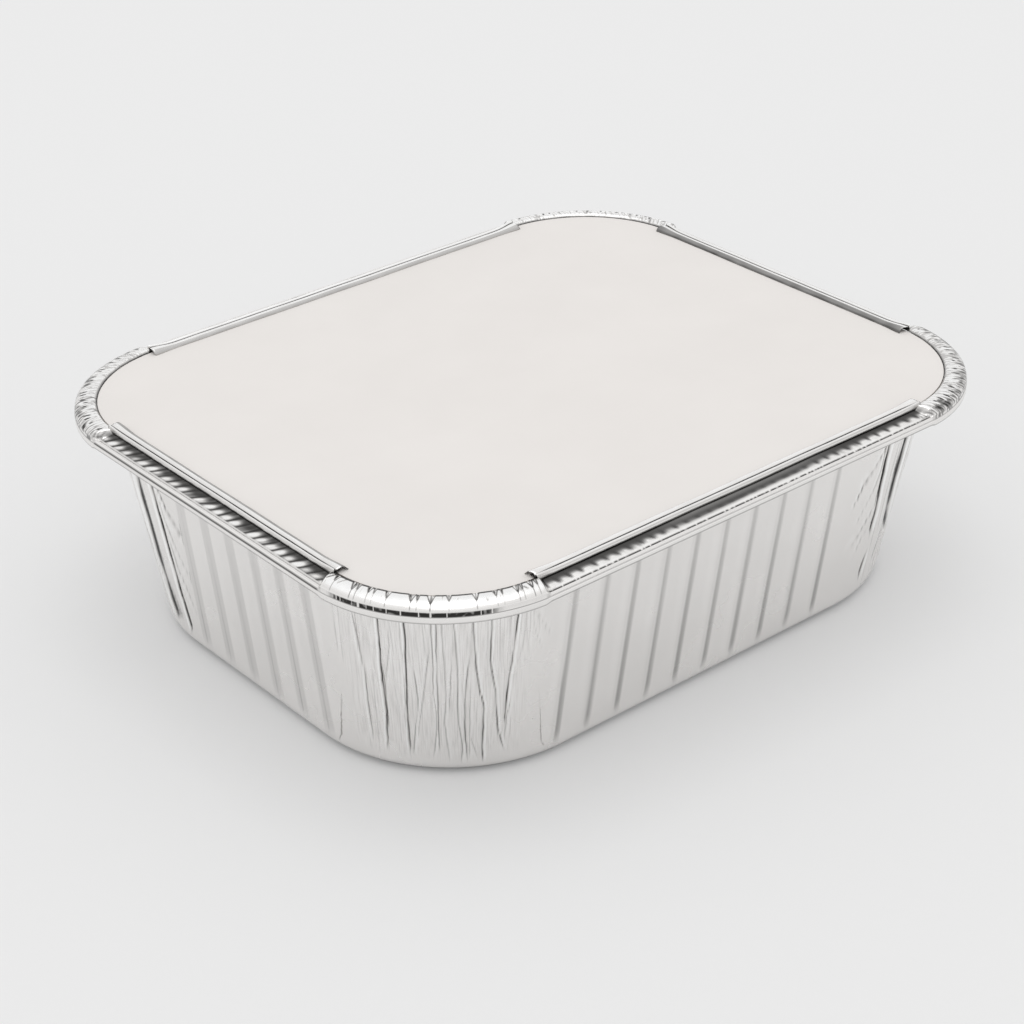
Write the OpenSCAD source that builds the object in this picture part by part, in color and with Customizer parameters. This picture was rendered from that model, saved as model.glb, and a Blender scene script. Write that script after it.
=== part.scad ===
// Foil food container: a pressed foil tray whose rim is folded over a board lid.
// Millimetres, +Z up. The origin is at the centre of the base, and the long side runs along X.

/* [Rim] */
// Length over the rim
rim_l = 145; // [141:1:165]
// Width over the rim
rim_w = 122; // [115:1:140]
// Corner radius of the rim
rim_r = 28; // [26:0.5:32]
// Height of the rim band's lower edge above the table
rim_z = 40; // [30:1:60]
// Height of the plain band under the bead
band_h = 0.8; // [0.6:0.1:1.2]
// Radius of the bead round the rim
bead_r = 0.45; // [0.35:0.05:0.6]

/* [Body] */
// Length of the base
base_l = 128; // [118:1:131]
// Width of the base
base_w = 101; // [94:1:106]
// Corner radius of the base
base_r = 30; // [24:0.5:32]
// Distance from the rim's outer edge in to the top of the wall
mouth_inset = 6; // [5.6:0.1:7]
// Corner radius at the top of the wall
mouth_r = 24.5; // [21:0.5:26]
// Radius of the fold between the floor and the wall
fold_r = 3.5; // [2:0.5:5]
// Thickness of the foil
foil_t = 0.12; // [0.08:0.01:0.15]

/* [Floor panel] */
// Width of the flat ring that the tray stands on
foot_w = 5; // [3:0.5:8]
// How far the middle of the floor is raised
panel_h = 0.9; // [0.4:0.1:1.5]
// Width of the slope between the ring and the raised panel
panel_slope = 2.5; // [1.5:0.5:4]

/* [Wall ribs] */
// Distance from rib to rib
rib_pitch = 7; // [6:0.1:7]
// Width of a rib at its foot
rib_w = 2.4; // [1.6:0.1:3]
// Height of a rib
rib_h = 0.4; // [0.2:0.05:0.6]

/* [Corner pleats] */
// Number of pleats at a corner
pleats = 9; // [5:1:10]
// Depth of the deepest pleat at the top of the wall
pleat_depth = 0.9; // [0.4:0.1:1.2]
// Width of a pleat, in degrees round the corner
pleat_a = 3.4; // [2:0.1:4]

/* [Rim flange] */
// Distance from ripple to ripple along the straight flanges
ripple_pitch = 3.2; // [3:0.1:5]
// Height of the ripples
ripple_h = 0.35; // [0.1:0.05:0.5]
// Number of tucks crimped into a corner of the rim
tucks = 13; // [8:1:14]
// Depth of the tucks
tuck_depth = 0.4; // [0.1:0.05:0.5]

/* [Hem] */
// How far a hem runs on past each end of its straight side
hem_over = 1.25; // [0:0.25:2.5]
// Distance from the rim's outer edge in to the hem
hem_inset = 3.3; // [3.1:0.05:3.4]
// Radius of the loose roll on the long sides
long_roll_r = 0.5; // [0.45:0.01:0.56]
// Radius of the loose roll on the short sides
short_roll_r = 0.5; // [0.46:0.01:0.56]
// Radius of the tight roll of the hem
curl_r = 0.46; // [0.4:0.02:0.54]
// Wall of the loose roll, which is several turns of foil
hem_t = 0.3; // [0.25:0.01:0.35]

/* [Lid] */
// Thickness of the board
lid_t = 0.6; // [0.4:0.05:0.8]
// Gap between the edge of the lid and the crimped corners
lid_gap = 0.15; // [0.1:0.05:0.3]

/* [Hidden] */

// Flat steps that a quarter circle is drawn with
arc_steps = 8;
// Rise from the band's lower edge to the underside of the shelf that the lid lies on
shelf_rise = 1.7;
// Radius between the wall and the shelf
shelf_r = 0.8;
// Inner edge of the crimped corners, inward from the rim's outer edge
crimp_inset = 4.2;
// Inner edge of the straight flanges, inward from the rim's outer edge
flange_inset = 3.45;
// Height that the straight flanges reach above the lid, inside the hem
flange_over_lid = 0.6;
// Depth of the straight flanges' middle below the top of the lid
flange_dip = 0.5;
// Height of the crimped corners' crest above the lid
crest_over_lid = 0.5;
// Clearance between the hem and the face of the lid
hem_gap = 0.05;
// Flat stretch of the loose rolls
roll_flat = 0.2;
// Sides that a roll is drawn with
roll_sides = 14;
// Width of the turn at the band's lower edge
turn_w = 0.5;
// How far the plain band lies behind the bead
band_back = 0.05;
// Width of the groove between the bead and the flange
groove_w = 0.3;
// Flat stretch of the tight roll of the long sides
curl_flat = 0.5;
// How far the tight roll of the short sides hangs below the top of the lid
curl_drop = 0.1;
// How deep the loose and the tight roll are pressed into each other
roll_bite = 0.2;

shelf_z = rim_z + shelf_rise;
lid_z = shelf_z + foil_t;
lid_top = lid_z + lid_t;
lid_inset = crimp_inset + lid_gap;

function mix(a, b, t) = a + (b - a) * t;
function clamp(t) = min(max(t, 0), 1);
function smooth(t) = clamp(t) * clamp(t) * (3 - 2 * clamp(t));

// An outline is [half length, half width, corner radius].
rim = [rim_l / 2, rim_w / 2, rim_r];
base = [base_l / 2, base_w / 2, base_r];
mouth = [rim_l / 2 - mouth_inset, rim_w / 2 - mouth_inset, mouth_r];
function grow(outline, d) = [for (v = outline) v + d];

// Side 0 is the long front one, and 1, 2 and 3 follow it anticlockwise.
// Corner 0 comes after side 0.
function side_out(k) = [[0, -1], [1, 0], [0, 1], [-1, 0]][k];
function side_run(k) = [[1, 0], [0, 1], [-1, 0], [0, -1]][k];
function half_run(outline, k) = outline[k % 2];
function half_across(outline, k) = outline[1 - k % 2];
function half_straight(outline, k) = half_run(outline, k) - outline[2];

// A station is a place on the way round: [side, f, c, relief, lean].
// At a corner f runs from 0 to 1. On a side f is -1, and c is the distance from its middle.
// relief is how far the foil stands out there, and lean turns a pleat as it rises.
function at_corner(st) = st[1] >= 0;
function outward(st, z = 0) =
    let (k = st[0], a = 90 * st[1] + st[4] * z / rim_z)
    at_corner(st) ? side_out(k) * cos(a) + side_run(k) * sin(a) : side_out(k);
function place(outline, st, z = 0) =
    let (k = st[0], r = outline[2], run = half_run(outline, k), across = half_across(outline, k))
    at_corner(st)
        ? side_out(k) * (across - r) + side_run(k) * (run - r) + outward(st, z) * r
        : side_out(k) * across + side_run(k) * st[2];

// How far round a station is: corner k from 2k + 1 to 2k + 2, and side 0 comes last.
function order(st) =
    let (k = st[0] == 0 && !at_corner(st) ? 4 : st[0])
    at_corner(st) ? 2 * k + 1 + st[1] : 2 * k + 0.5 + st[2] / (2 * half_run(rim, st[0]));

// A whole ring of stations, from the start of corner 0 round to the end of side 0
function round_trip(corner, side) = [
    for (k = [0 : 3]) each concat(corner(k), side((k + 1) % 4))
];

// Stations of the plain parts: the corners' arcs only
plain = round_trip(
    function (k) [for (i = [0 : arc_steps]) [k, i / arc_steps, 0, 0, 0]],
    function (k) []
);

// Stations of the wall: four to each rib and three to each pleat
function rib_count(k) =
    let (straight = 2 * min(half_straight(base, k), half_straight(mouth, k)))
    floor((straight - rib_w) / rib_pitch) + 1;
function rib_stations(k) = [
    for (i = [0 : rib_count(k) - 1], q = [[-3, 0], [-1, 1], [1, 1], [3, 0]])
        [k, -1, (i - (rib_count(k) - 1) / 2) * rib_pitch + q[0] * rib_w / 6, q[1] * rib_h, 0]
];
pleat_step = 90 / pleats;
function pleat_dice(k, i) = rands(-1, 1, 3, 17 + 40 * k + i);
function pleat_stations(k) = [
    for (i = [0 : pleats - 1])
        let (dice = pleat_dice(k, i), spare = (pleat_step - pleat_a) / 2)
        let (a = (i + 0.5) * pleat_step + dice[0] * spare * 0.45)
        let (fall = -pleat_depth * (0.7 + 0.3 * dice[1]), lean = dice[2] * spare * 0.5)
        for (q = [[-0.5, 0], [0.2, 1], [0.5, -0.15]])
            [k, (a + q[0] * pleat_a) / 90, 0, q[1] * fall, lean]
];
wall_ring = round_trip(
    function (k) concat([[k, 0, 0, 0, 0]], pleat_stations(k), [[k, 1, 0, 0, 0]]),
    function (k) rib_stations(k)
);

// Stations of the flange: two to each ripple and three to each tuck
function ripple_count(k) = floor(2 * half_straight(rim, k) / ripple_pitch - 0.5);
function ripple_stations(k) =
    let (n = ripple_count(k))
    [for (i = [0 : 2 * n]) [k, -1, (i - n) * ripple_pitch / 2, (i % 2 - 0.5) * ripple_h, 0]];
tuck_step = 1 / tucks;
function tuck_stations(k) = [
    for (i = [0 : tucks - 1])
        let (dice = rands(-1, 1, 2, 300 + 40 * k + i))
        let (f = (i + 0.5 + 0.15 * dice[0]) * tuck_step)
        for (q = [[-0.3, 0], [0, -1], [0.18, 0.2]])
            [k, f + q[0] * tuck_step, 0, q[1] * tuck_depth * (0.75 + 0.25 * dice[1]), 0]
];
flange_ring = round_trip(
    function (k) concat([[k, 0, 0, 0, 0]], tuck_stations(k), [[k, 1, 0, 0, 0]]),
    function (k) ripple_stations(k)
);

// A row is one level of the sheet: [outline, z, stations, share of the relief, rise, crimp].
// rise is the part of the relief that goes up instead of out, and crimp, where there is one,
// is the [outline, z] that the row takes at the corners.
function floor_row(inset, z) = [grow(base, -inset), z, plain, 0, 0];
function wall_row(z, stations, relief) =
    let (t = (z - fold_r) / (rim_z - fold_r))
    [mix(base, mouth, t), z, stations, relief, 0];
function rim_row(u, z) = [grow(rim, u), z, plain, 0, 0];
function flange_row(side, corner, relief) =
    [grow(rim, side[0]), side[1], flange_ring, relief, 0.9, [grow(rim, corner[0]), corner[1]]];

bead_z = rim_z + band_h + bead_r;
function bead_row(a) = rim_row(bead_r * (cos(a) - 1), bead_z + bead_r * sin(a));
groove_u = -2 * bead_r - groove_w;
rows = [
    floor_row(fold_r + foot_w + panel_slope, panel_h),
    floor_row(fold_r + foot_w, 0),
    floor_row(fold_r * 0.9, 0),
    floor_row(fold_r * 0.28, fold_r * 0.22),
    wall_row(fold_r, wall_ring, 0),
    wall_row(fold_r + 5, wall_ring, 0.75),
    wall_row(shelf_z - shelf_r, wall_ring, 1),
    rim_row(-mouth_inset + shelf_r, shelf_z),
    rim_row(-crimp_inset - 0.2, shelf_z),
    rim_row(-turn_w, rim_z + turn_w * 0.4),
    rim_row(-turn_w / 2, rim_z),
    rim_row(-band_back, rim_z + turn_w * 0.4),
    rim_row(-band_back, rim_z + band_h - 0.1),
    bead_row(0),
    bead_row(45),
    bead_row(90),
    bead_row(145),
    flange_row([groove_u, bead_z + bead_r * 0.3], [groove_u, bead_z + bead_r], 0.4),
    flange_row([-2.6, lid_top - flange_dip], [-2.6, lid_top + crest_over_lid], 1),
    flange_row([-flange_inset, lid_top + flange_over_lid], [-crimp_inset, lid_top + 0.1], 0)
];

// Inner skin: each row is moved by the foil's thickness to the left of the way that the profile runs.
function profile_point(i) = [rows[i][0][0], rows[i][1]];
function unit(v) = v / norm(v);
function turned(v) = [-v[1], v[0]];
function row_normal(i) =
    let (
        before = i > 0 ? unit(profile_point(i) - profile_point(i - 1)) : [1, 0],
        after = i < len(rows) - 1 ? unit(profile_point(i + 1) - profile_point(i)) : before
    )
    turned(unit(before + after));
function inner_row(i) =
    let (row = rows[i], d = row_normal(i) * foil_t, crimp = row[5])
    [
        grow(row[0], d[0]), row[1] + d[1], row[2], row[3], row[4],
        is_undef(crimp) ? undef : [grow(crimp[0], d[0]), crimp[1] + d[1]]
    ];

// How much of the crimped section a station has: none on the sides, all of it inside a corner
function crimped(st) = at_corner(st) ? smooth(min(st[1], 1 - st[1]) / 0.07 - 0.3) : 0;
function row_points(row) = [
    for (st = row[2])
        let (
            c = is_undef(row[5]) ? 0 : crimped(st),
            outline = c > 0 ? mix(row[0], row[5][0], c) : row[0],
            z = c > 0 ? mix(row[1], row[5][1], c) : row[1],
            relief = st[3] * row[3]
        )
        let (xy = place(outline, st, z) + outward(st, z) * relief * (1 - row[4]))
        [xy[0], xy[1], z + relief * row[4]]
];

// Triangles between two rings whose stations needn't match: the ring that is behind steps next.
function next_order(ring, i) = i + 1 < len(ring) ? order(ring[i + 1]) : order(ring[0]) + 8;
function first_steps(a, b, s) =
    s[1] >= len(b) || (s[0] < len(a) && next_order(a, s[0]) <= next_order(b, s[1]));
function zip_faces(a, b, first_a, first_b) = [
    for (s = [0, 0]; s[0] < len(a) || s[1] < len(b); s = first_steps(a, b, s) ? s + [1, 0] : s + [0, 1])
        let (at_a = first_a + s[0] % len(a), at_b = first_b + s[1] % len(b))
        first_steps(a, b, s)
            ? [at_a, at_b, first_a + (s[0] + 1) % len(a)]
            : [at_a, at_b, first_b + (s[1] + 1) % len(b)]
];

module foil_sheet() {
    n = len(rows);
    skins = concat(rows, [for (i = [n - 1 : -1 : 0]) inner_row(i)]);
    starts = [for (i = 0, s = 1; i <= len(skins); s = s + (i < len(skins) ? len(skins[i][2]) : 0), i = i + 1) s];
    points = concat(
        [[0, 0, panel_h]],
        [for (row = skins) each row_points(row)],
        [[0, 0, panel_h + foil_t]]
    );
    last = len(points) - 1;
    first_ring = skins[0][2];
    faces = concat(
        [for (i = [0 : len(first_ring) - 1]) [0, 1 + i, 1 + (i + 1) % len(first_ring)]],
        [for (i = [0 : len(skins) - 2]) each zip_faces(skins[i][2], skins[i + 1][2], starts[i], starts[i + 1])],
        [for (i = [0 : len(first_ring) - 1])
            [starts[len(skins) - 1] + i, last, starts[len(skins) - 1] + (i + 1) % len(first_ring)]]
    );
    polyhedron(points, faces, convexity = 8);
}

// Section of one roll: its two ends, and the flat stretch between them
module roll(x, z, r, flat) {
    hull() {
        translate([x - flat / 2, z]) circle(r, $fn = roll_sides);
        translate([x + flat / 2, z]) circle(r, $fn = roll_sides);
    }
}

// Section of a hem: a loose roll and a tight one, side by side on the lid.
// x is measured outward from the rim's outer edge.
module hem_section(long_side) {
    roll_r = long_side ? long_roll_r : short_roll_r;
    roll_half = roll_r + roll_flat / 2;
    tight_flat = long_side ? curl_flat : 0;
    curl_half = curl_r + tight_flat / 2;
    roll_x = long_side
        ? -hem_inset - roll_half
        : -hem_inset - 2 * curl_half + roll_bite - roll_half;
    roll_z = lid_top + hem_gap + roll_r;
    curl_x = long_side
        ? roll_x - roll_half + roll_bite - curl_half
        : -hem_inset - curl_half;
    curl_z = lid_top + curl_r + (long_side ? hem_gap : -curl_drop);
    difference() {
        union() {
            roll(roll_x, roll_z, roll_r, roll_flat);
            roll(curl_x, curl_z, curl_r, tight_flat);
        }
        roll(roll_x, roll_z, roll_r - hem_t, roll_flat);
    }
}

module hem(k) {
    half_length = half_straight(rim, k) + hem_over;
    rotate(90 * k)
        translate([-half_length, -half_across(rim, k), 0])
            rotate([90, 0, 90])
                linear_extrude(2 * half_length)
                    mirror([1, 0])
                        hem_section(k % 2 == 0);
}

module foil_tray() {
    color("silver") {
        foil_sheet();
        for (k = [0 : 3]) hem(k);
    }
}

module board_lid() {
    lid = grow(rim, -lid_inset);
    color("#ebe7e4")
        translate([0, 0, lid_z])
            linear_extrude(lid_t)
                union() {
                    square([2 * lid[0], 2 * (lid[1] - lid[2])], center = true);
                    square([2 * (lid[0] - lid[2]), 2 * lid[1]], center = true);
                    for (x = [-1, 1], y = [-1, 1])
                        translate([x * (lid[0] - lid[2]), y * (lid[1] - lid[2])])
                            circle(lid[2], $fn = 96);
                }
}

foil_tray();
board_lid();
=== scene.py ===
import math
import random

import bmesh
import bpy
from mathutils import Matrix, Vector, noise


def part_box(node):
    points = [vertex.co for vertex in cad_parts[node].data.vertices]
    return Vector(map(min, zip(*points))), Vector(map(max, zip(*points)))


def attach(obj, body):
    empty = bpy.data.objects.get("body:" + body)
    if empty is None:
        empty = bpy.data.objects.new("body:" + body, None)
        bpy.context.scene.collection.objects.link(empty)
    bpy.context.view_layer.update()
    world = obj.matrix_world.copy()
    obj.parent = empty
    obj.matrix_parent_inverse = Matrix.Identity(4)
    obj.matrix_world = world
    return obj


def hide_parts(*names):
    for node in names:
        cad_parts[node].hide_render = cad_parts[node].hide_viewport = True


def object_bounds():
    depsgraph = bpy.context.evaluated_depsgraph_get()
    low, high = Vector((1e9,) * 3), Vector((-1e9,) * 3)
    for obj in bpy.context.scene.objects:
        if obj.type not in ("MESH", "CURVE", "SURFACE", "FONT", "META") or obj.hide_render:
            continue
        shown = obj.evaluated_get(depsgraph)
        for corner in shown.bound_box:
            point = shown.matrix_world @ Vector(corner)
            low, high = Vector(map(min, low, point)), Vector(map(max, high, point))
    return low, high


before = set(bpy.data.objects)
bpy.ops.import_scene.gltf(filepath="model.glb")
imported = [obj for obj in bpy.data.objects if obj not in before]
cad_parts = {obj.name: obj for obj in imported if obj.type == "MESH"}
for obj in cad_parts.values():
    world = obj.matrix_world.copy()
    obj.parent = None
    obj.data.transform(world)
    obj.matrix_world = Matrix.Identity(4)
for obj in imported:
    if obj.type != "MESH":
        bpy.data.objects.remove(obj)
cad_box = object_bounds()

MM = 0.001
lid_low, lid_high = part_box("board_lid")

# Outlines of the tray in millimetres: half length, half width and corner radius
RIM = (cad_box[1][0] / MM, cad_box[1][1] / MM, 28)
MOUTH = (RIM[0] - 6, RIM[1] - 6, 24.5)
BASE = (RIM[0] - 8.5, RIM[1] - 10.5, 30)

# Heights and other sizes of the tray in millimetres
FOIL_T = 0.12
LID_TOP = lid_high[2] / MM
SHELF_Z = lid_low[2] / MM - FOIL_T
RIM_Z = 40
WALL_TOP = 41
PANEL_H = 0.9
FOLD_R = 3.5

# Sides in order, the long front one first and the others anticlockwise. A corner has the number of the side
# that it follows.
SIDE_NAMES = ("front", "right", "back", "left")
OUT = ((0, -1), (1, 0), (0, 1), (-1, 0))
RUN = ((1, 0), (0, 1), (-1, 0), (0, -1))
CORNERS = range(4)
RIGHT_CORNER = 0
LEFT_CORNER = 2
NEAR_CORNER = 3

# Half length of the middle of a long and a short side, which the corners' columns leave out
CORE = (32, 18)

# Stretch of each corner, from 0 at its start to 1 at its end, that has close columns for creases or for crimps
CREASED = ((0, 0.4), (0.15, 0.85), (0.62, 1), (0.2, 0.88))
CRIMPED = ((0.16, 0.84),) * 4


def mix(a, b, t):
    return a + (b - a) * t


def clamp(t):
    return min(max(t, 0), 1)


def smooth(t):
    t = clamp(t)
    return t * t * (3 - 2 * t)


def fade_in(value, start, width):
    """0 up to the start, and 1 from a width further on."""
    return smooth((value - start) / width)


def fade_out(value, end, width):
    """1 until a width before the end, and 0 from the end on."""
    return smooth((end - value) / width)


def peak(distance, width, power=2):
    """1 at no distance, and less to both sides over about a width."""
    return math.exp(-(distance / width) ** power)


def wobble(x, y, z, size, seed=0):
    """Soft random number from -1 to 1 that changes over about size millimetres."""
    return noise.noise(Vector((x / size + seed * 7.3, y / size - seed * 3.1, z / size + seed)))


# The blank: once round the tray in columns

def halves(outline, side):
    """Half of an outline's size along a side, and half of its size across."""
    return (outline[0], outline[1]) if side % 2 == 0 else (outline[1], outline[0])


def corner_parts(outline, inset, side):
    """Lengths that a corner's columns share out: the end of one side, the arc, the start of the next."""
    half_run, half_across = halves(outline, side)
    before = half_run - outline[2] - CORE[side % 2]
    after = half_across - outline[2] - CORE[(side + 1) % 2]
    return before, (outline[2] - inset) * math.pi / 2, after


def round_trip(side_step, corner_steps, stretches):
    """Columns once round: (side, run, turn), with run in millimetres on a side and turn 0 to 1 at a corner.

    corner_steps gives the step in millimetres in the stretch of each corner.
    """
    trip = []
    for side in CORNERS:
        core = CORE[side % 2]
        count = round(2 * core / side_step)
        trip += [(side, core * (2 * i / count - 1), None) for i in range(count)]
        way = sum(corner_parts(RIM, 0, side))
        low, high = stretches[side]
        for start, end, step in ((0, low, side_step), (low, high, corner_steps[side]), (high, 1, side_step)):
            count = round((end - start) * way / step)
            trip += [(side, None, mix(start, end, i / count)) for i in range(count)]
    return trip


def spot(outline, inset, column):
    """Place of a column on an outline moved inward by inset, and its outward direction."""
    side, run, turn = column
    radius = outline[2]
    half_run, half_across = halves(outline, side)
    out, along = OUT[side], RUN[side]
    if turn is not None:
        before, arc, after = corner_parts(outline, inset, side)
        way = turn * (before + arc + after)
        run = CORE[side % 2] + way
        if way > before + arc:
            out, along = OUT[(side + 1) % 4], RUN[(side + 1) % 4]
            run = radius - half_across + way - before - arc
            half_across = half_run
        elif way > before:
            angle = (way - before) / (radius - inset)
            c, s = math.cos(angle), math.sin(angle)
            direction = (out[0] * c + along[0] * s, out[1] * c + along[1] * s)
            x = out[0] * (half_across - radius) + along[0] * (half_run - radius)
            y = out[1] * (half_across - radius) + along[1] * (half_run - radius)
            return x + direction[0] * (radius - inset), y + direction[1] * (radius - inset), direction
    across = half_across - inset
    return out[0] * across + along[0] * run, out[1] * across + along[1] * run, out


def add_object(name, data):
    thing = bpy.data.objects.new(name, data)
    bpy.context.scene.collection.objects.link(thing)
    return thing


def add_piece(name, bm):
    mesh = bpy.data.meshes.new(name)
    bm.to_mesh(mesh)
    bm.free()
    return add_object(name, mesh)


def blank(name, columns, rows, shape, closed=True):
    """A sheet of columns by rows. shape(i, j) gives a point's x, y, z in mm, its painted light and its crush.

    fold is painted shade, 1 in the dark of a crease, and below 0 it is a painted highlight on a bright ridge.
    crush is 1 where the foil is wrinkled.
    """
    bm = bmesh.new()
    bm.loops.layers.uv.new("blank")
    bmesh.ops.create_grid(bm, x_segments=columns, y_segments=rows - 1, size=0.5, calc_uvs=True)
    fold = bm.verts.layers.float.new("fold")
    crush = bm.verts.layers.float.new("crush")
    for vert in bm.verts:
        i = round((vert.co.x + 0.5) * columns)
        j = round((vert.co.y + 0.5) * (rows - 1))
        x, y, z, vert[fold], vert[crush] = shape(i % columns if closed else i, j)
        vert.co = (x * MM, y * MM, z * MM)
    if closed:
        bmesh.ops.remove_doubles(bm, verts=bm.verts[:], dist=1e-7)
    for face in bm.faces:
        face.smooth = True
    return add_piece(name, bm)


# Creases of the corners

# Depth in mm of the faintest crease, and how much deeper a fully dark one is
CREASE_DEPTH = 0.05
DARK_DEPTH = 0.22

# Height in mm over which a crease grows from its foot, and over which it ends where it doesn't reach the rim
CREASE_FOOT = 2.5
CREASE_END = 4

# How far a crease strays from its path in mm, and the lengths in mm over which it strays and changes its painted
# shade
STRAY = 0.12
STRAY_SIZE = 2.2
SHADE_SIZE = 5

# A crease that drifts more than DRIFT_FREE mm to the side for each mm of height is OBLIQUE times as wide as the
# rest of the drift
OBLIQUE = 12
DRIFT_FREE = 0.4

# Profile of a crease in mm from its middle: the widths of its steep and its flat side, and the ridge beside it
# with its painted highlight
STEEP_SIDE = 0.3
FLAT_SIDE = 0.9
RIDGE_MIDDLE = 0.5
RIDGE_GLINT = 0.38


class Crease:
    """One crease of a corner wall, along a path of (turn, z) places from its foot up. Its darkness is painted
    shade.
    """

    def __init__(self, seed, dark, ridge_side, path, width=1):
        self.seed, self.dark, self.ridge_side, self.path, self.width = seed, dark, ridge_side, path, width
        self.depth = CREASE_DEPTH + DARK_DEPTH * dark

    def crossing(self, z, way):
        """At one height: the middle in mm along the corner, the depth, painted shade, width and ridge side."""
        low, high = self.path[0][1], self.path[-1][1]
        if z < low - 1 or z > high + 1:
            return None
        turn, drift = self.path[0][0], 0
        for (t0, z0), (t1, z1) in zip(self.path, self.path[1:]):
            if z >= z0:
                turn = mix(t0, t1, clamp((z - z0) / (z1 - z0)))
                drift = abs(t1 - t0) * way / (z1 - z0)
        reaches_rim = high > WALL_TOP - 2
        end = 1 if reaches_rim else fade_out(z, high + 1, CREASE_END)
        strength = smooth((z - low + 1) / CREASE_FOOT) * end
        middle = turn * way + STRAY * wobble(z, 0, 0, STRAY_SIZE, self.seed)
        dark = self.dark * strength * clamp(0.85 + 0.7 * wobble(z, 0, 0, SHADE_SIZE, self.seed + 90))
        width = max(self.width, OBLIQUE * (drift - DRIFT_FREE))
        return middle, self.depth * strength, dark * (self.width / width) ** 0.6, width, self.ridge_side


def across_crease(d, ridge_side):
    """Depth and painted shade across a crease, d widths from its middle, with the ridge on one side of it; shade
    below 0 is a painted highlight.
    """
    d *= ridge_side
    if d > 0:
        return max(0, 1 - d / STEEP_SIDE) - 0.25 * peak(d - RIDGE_MIDDLE, 0.2), -peak(d - RIDGE_GLINT, 0.14)
    return max(0, 1 + d / FLAT_SIDE) ** 1.5, 0.14 * max(0, 1 + d / 0.5) ** 2


# The near corner's creases: painted shade, ridge side and path
NEAR_CREASES = (
    (0.6, -1, ((0.283, 6), (0.283, 15), (0.285, 21), (0.275, 26), (0.263, 34), (0.25, 41))),
    (1.0, -1, ((0.335, 5), (0.345, 13), (0.345, 24), (0.35, 31), (0.352, 41))),
    (0.35, 1, ((0.35, 18), (0.365, 23), (0.38, 28), (0.383, 32))),
    (0.95, -1, ((0.415, 5), (0.415, 12), (0.42, 18), (0.43, 29), (0.435, 41))),
    (0.25, -1, ((0.406, 10), (0.415, 19), (0.42, 29))),
    (0.5, 1, ((0.425, 4.5), (0.433, 8), (0.453, 15), (0.455, 18), (0.448, 25))),
    (0.5, -1, ((0.443, 8), (0.47, 17.5), (0.49, 25), (0.5, 29))),
    (0.5, 1, ((0.493, 4), (0.508, 10), (0.51, 16), (0.503, 19), (0.508, 25), (0.508, 41))),
    (0.6, -1, ((0.513, 6), (0.515, 13), (0.52, 28), (0.525, 41))),
    (0.4, 1, ((0.545, 3.5), (0.533, 12), (0.543, 18), (0.54, 26), (0.536, 41))),
    (0.55, 1, ((0.584, 3), (0.588, 7), (0.575, 14), (0.58, 23), (0.573, 34), (0.57, 41))),
    (0.4, -1, ((0.55, 15), (0.555, 19), (0.563, 27))),
    (0.75, -1, ((0.605, 3.5), (0.598, 8), (0.598, 16), (0.603, 21), (0.615, 27))),
    (0.85, 1, ((0.656, 3), (0.653, 6), (0.658, 16), (0.645, 19), (0.635, 24), (0.626, 34), (0.622, 41))),
    (0.8, 1, ((0.725, 5), (0.703, 10), (0.693, 19), (0.675, 26), (0.68, 34), (0.682, 41))),
    (1.0, 1, ((0.725, 11), (0.735, 21), (0.743, 24), (0.758, 34), (0.768, 41))),
    (0.4, 1, ((0.725, 7.5), (0.733, 13), (0.744, 17))),
    (0.2, 1, ((0.805, 24), (0.787, 29), (0.785, 36))),
    (0.3, 1, ((0.865, 28), (0.82, 33), (0.803, 34.5), (0.79, 41))),
    (0.2, 1, ((0.843, 25), (0.81, 31), (0.8, 36))),
    (0.2, -1, ((0.753, 23), (0.775, 27), (0.79, 36))),
    (0.3, -1, ((0.638, 3.5), (0.608, 10))),
)
# The creases of the left corner and of the right one, as seen from the near one, with a width too
LEFT_CREASES = (
    (1.5, -1, ((0.85, 4.5), (0.825, 9), (0.8, 14), (0.785, 24), (0.768, 30), (0.758, 41)), 5),
    (1.3, -1, ((0.93, 3.8), (0.905, 11.5), (0.895, 17), (0.88, 26), (0.865, 33), (0.86, 41)), 1.7),
    (0.9, -1, ((1, 24.5), (0.955, 27.5), (0.93, 29.2), (0.903, 32.5), (0.885, 41)), 1.8),
    (0.4, -1, ((1, 16), (0.96, 19.5), (0.933, 22.5), (0.913, 26), (0.89, 32)), 2),
    (0.3, -1, ((0.803, 8), (0.75, 17), (0.71, 20.5), (0.69, 31), (0.68, 41)), 2.4),
    (0.35, -1, ((0.99, 9), (0.96, 13), (0.925, 17), (0.905, 24)), 2),
)
RIGHT_CREASES = (
    (1.5, 1, ((0.31, 13), (0.285, 17.5), (0.27, 22), (0.27, 28), (0.278, 34), (0.285, 41)), 4.5),
    (0.8, -1, ((0.248, 7), (0.262, 11), (0.268, 14.5)), 2.4),
    (1.4, 1, ((0.17, 15), (0.178, 20), (0.17, 25), (0.168, 31), (0.175, 35), (0.178, 41)), 1.7),
    (0.9, 1, ((0.16, 5), (0.168, 8), (0.176, 11)), 1.8),
    (0.7, -1, ((0.04, 24), (0.075, 28), (0.113, 31), (0.15, 34.5), (0.165, 41)), 1.8),
    (0.45, -1, ((0.075, 19.5), (0.108, 23), (0.13, 26), (0.15, 30), (0.16, 41)), 2),
    (0.5, -1, ((0.075, 14.5), (0.103, 16.5), (0.13, 19), (0.16, 22)), 2),
    (0.35, -1, ((0.1, 12), (0.123, 15), (0.16, 18)), 2),
    (0.3, 1, ((0.33, 20), (0.335, 28), (0.333, 41)), 2.4),
)

# Creases by chance: their seed, how many a corner has, the stretches of the corner that they begin at and fill,
# how close to a set one they may start, and how far they stray to the side
CREASE_SEED = 31
CHANCE_CREASES = 15
CHANCE_START, CHANCE_STRETCH = 0.2, 0.6
FINE_CREASES = 34
FINE_START, FINE_STRETCH = 0.17, 0.66
LEAST_APART = 0.05
SIDEWAYS = 0.012
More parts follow.
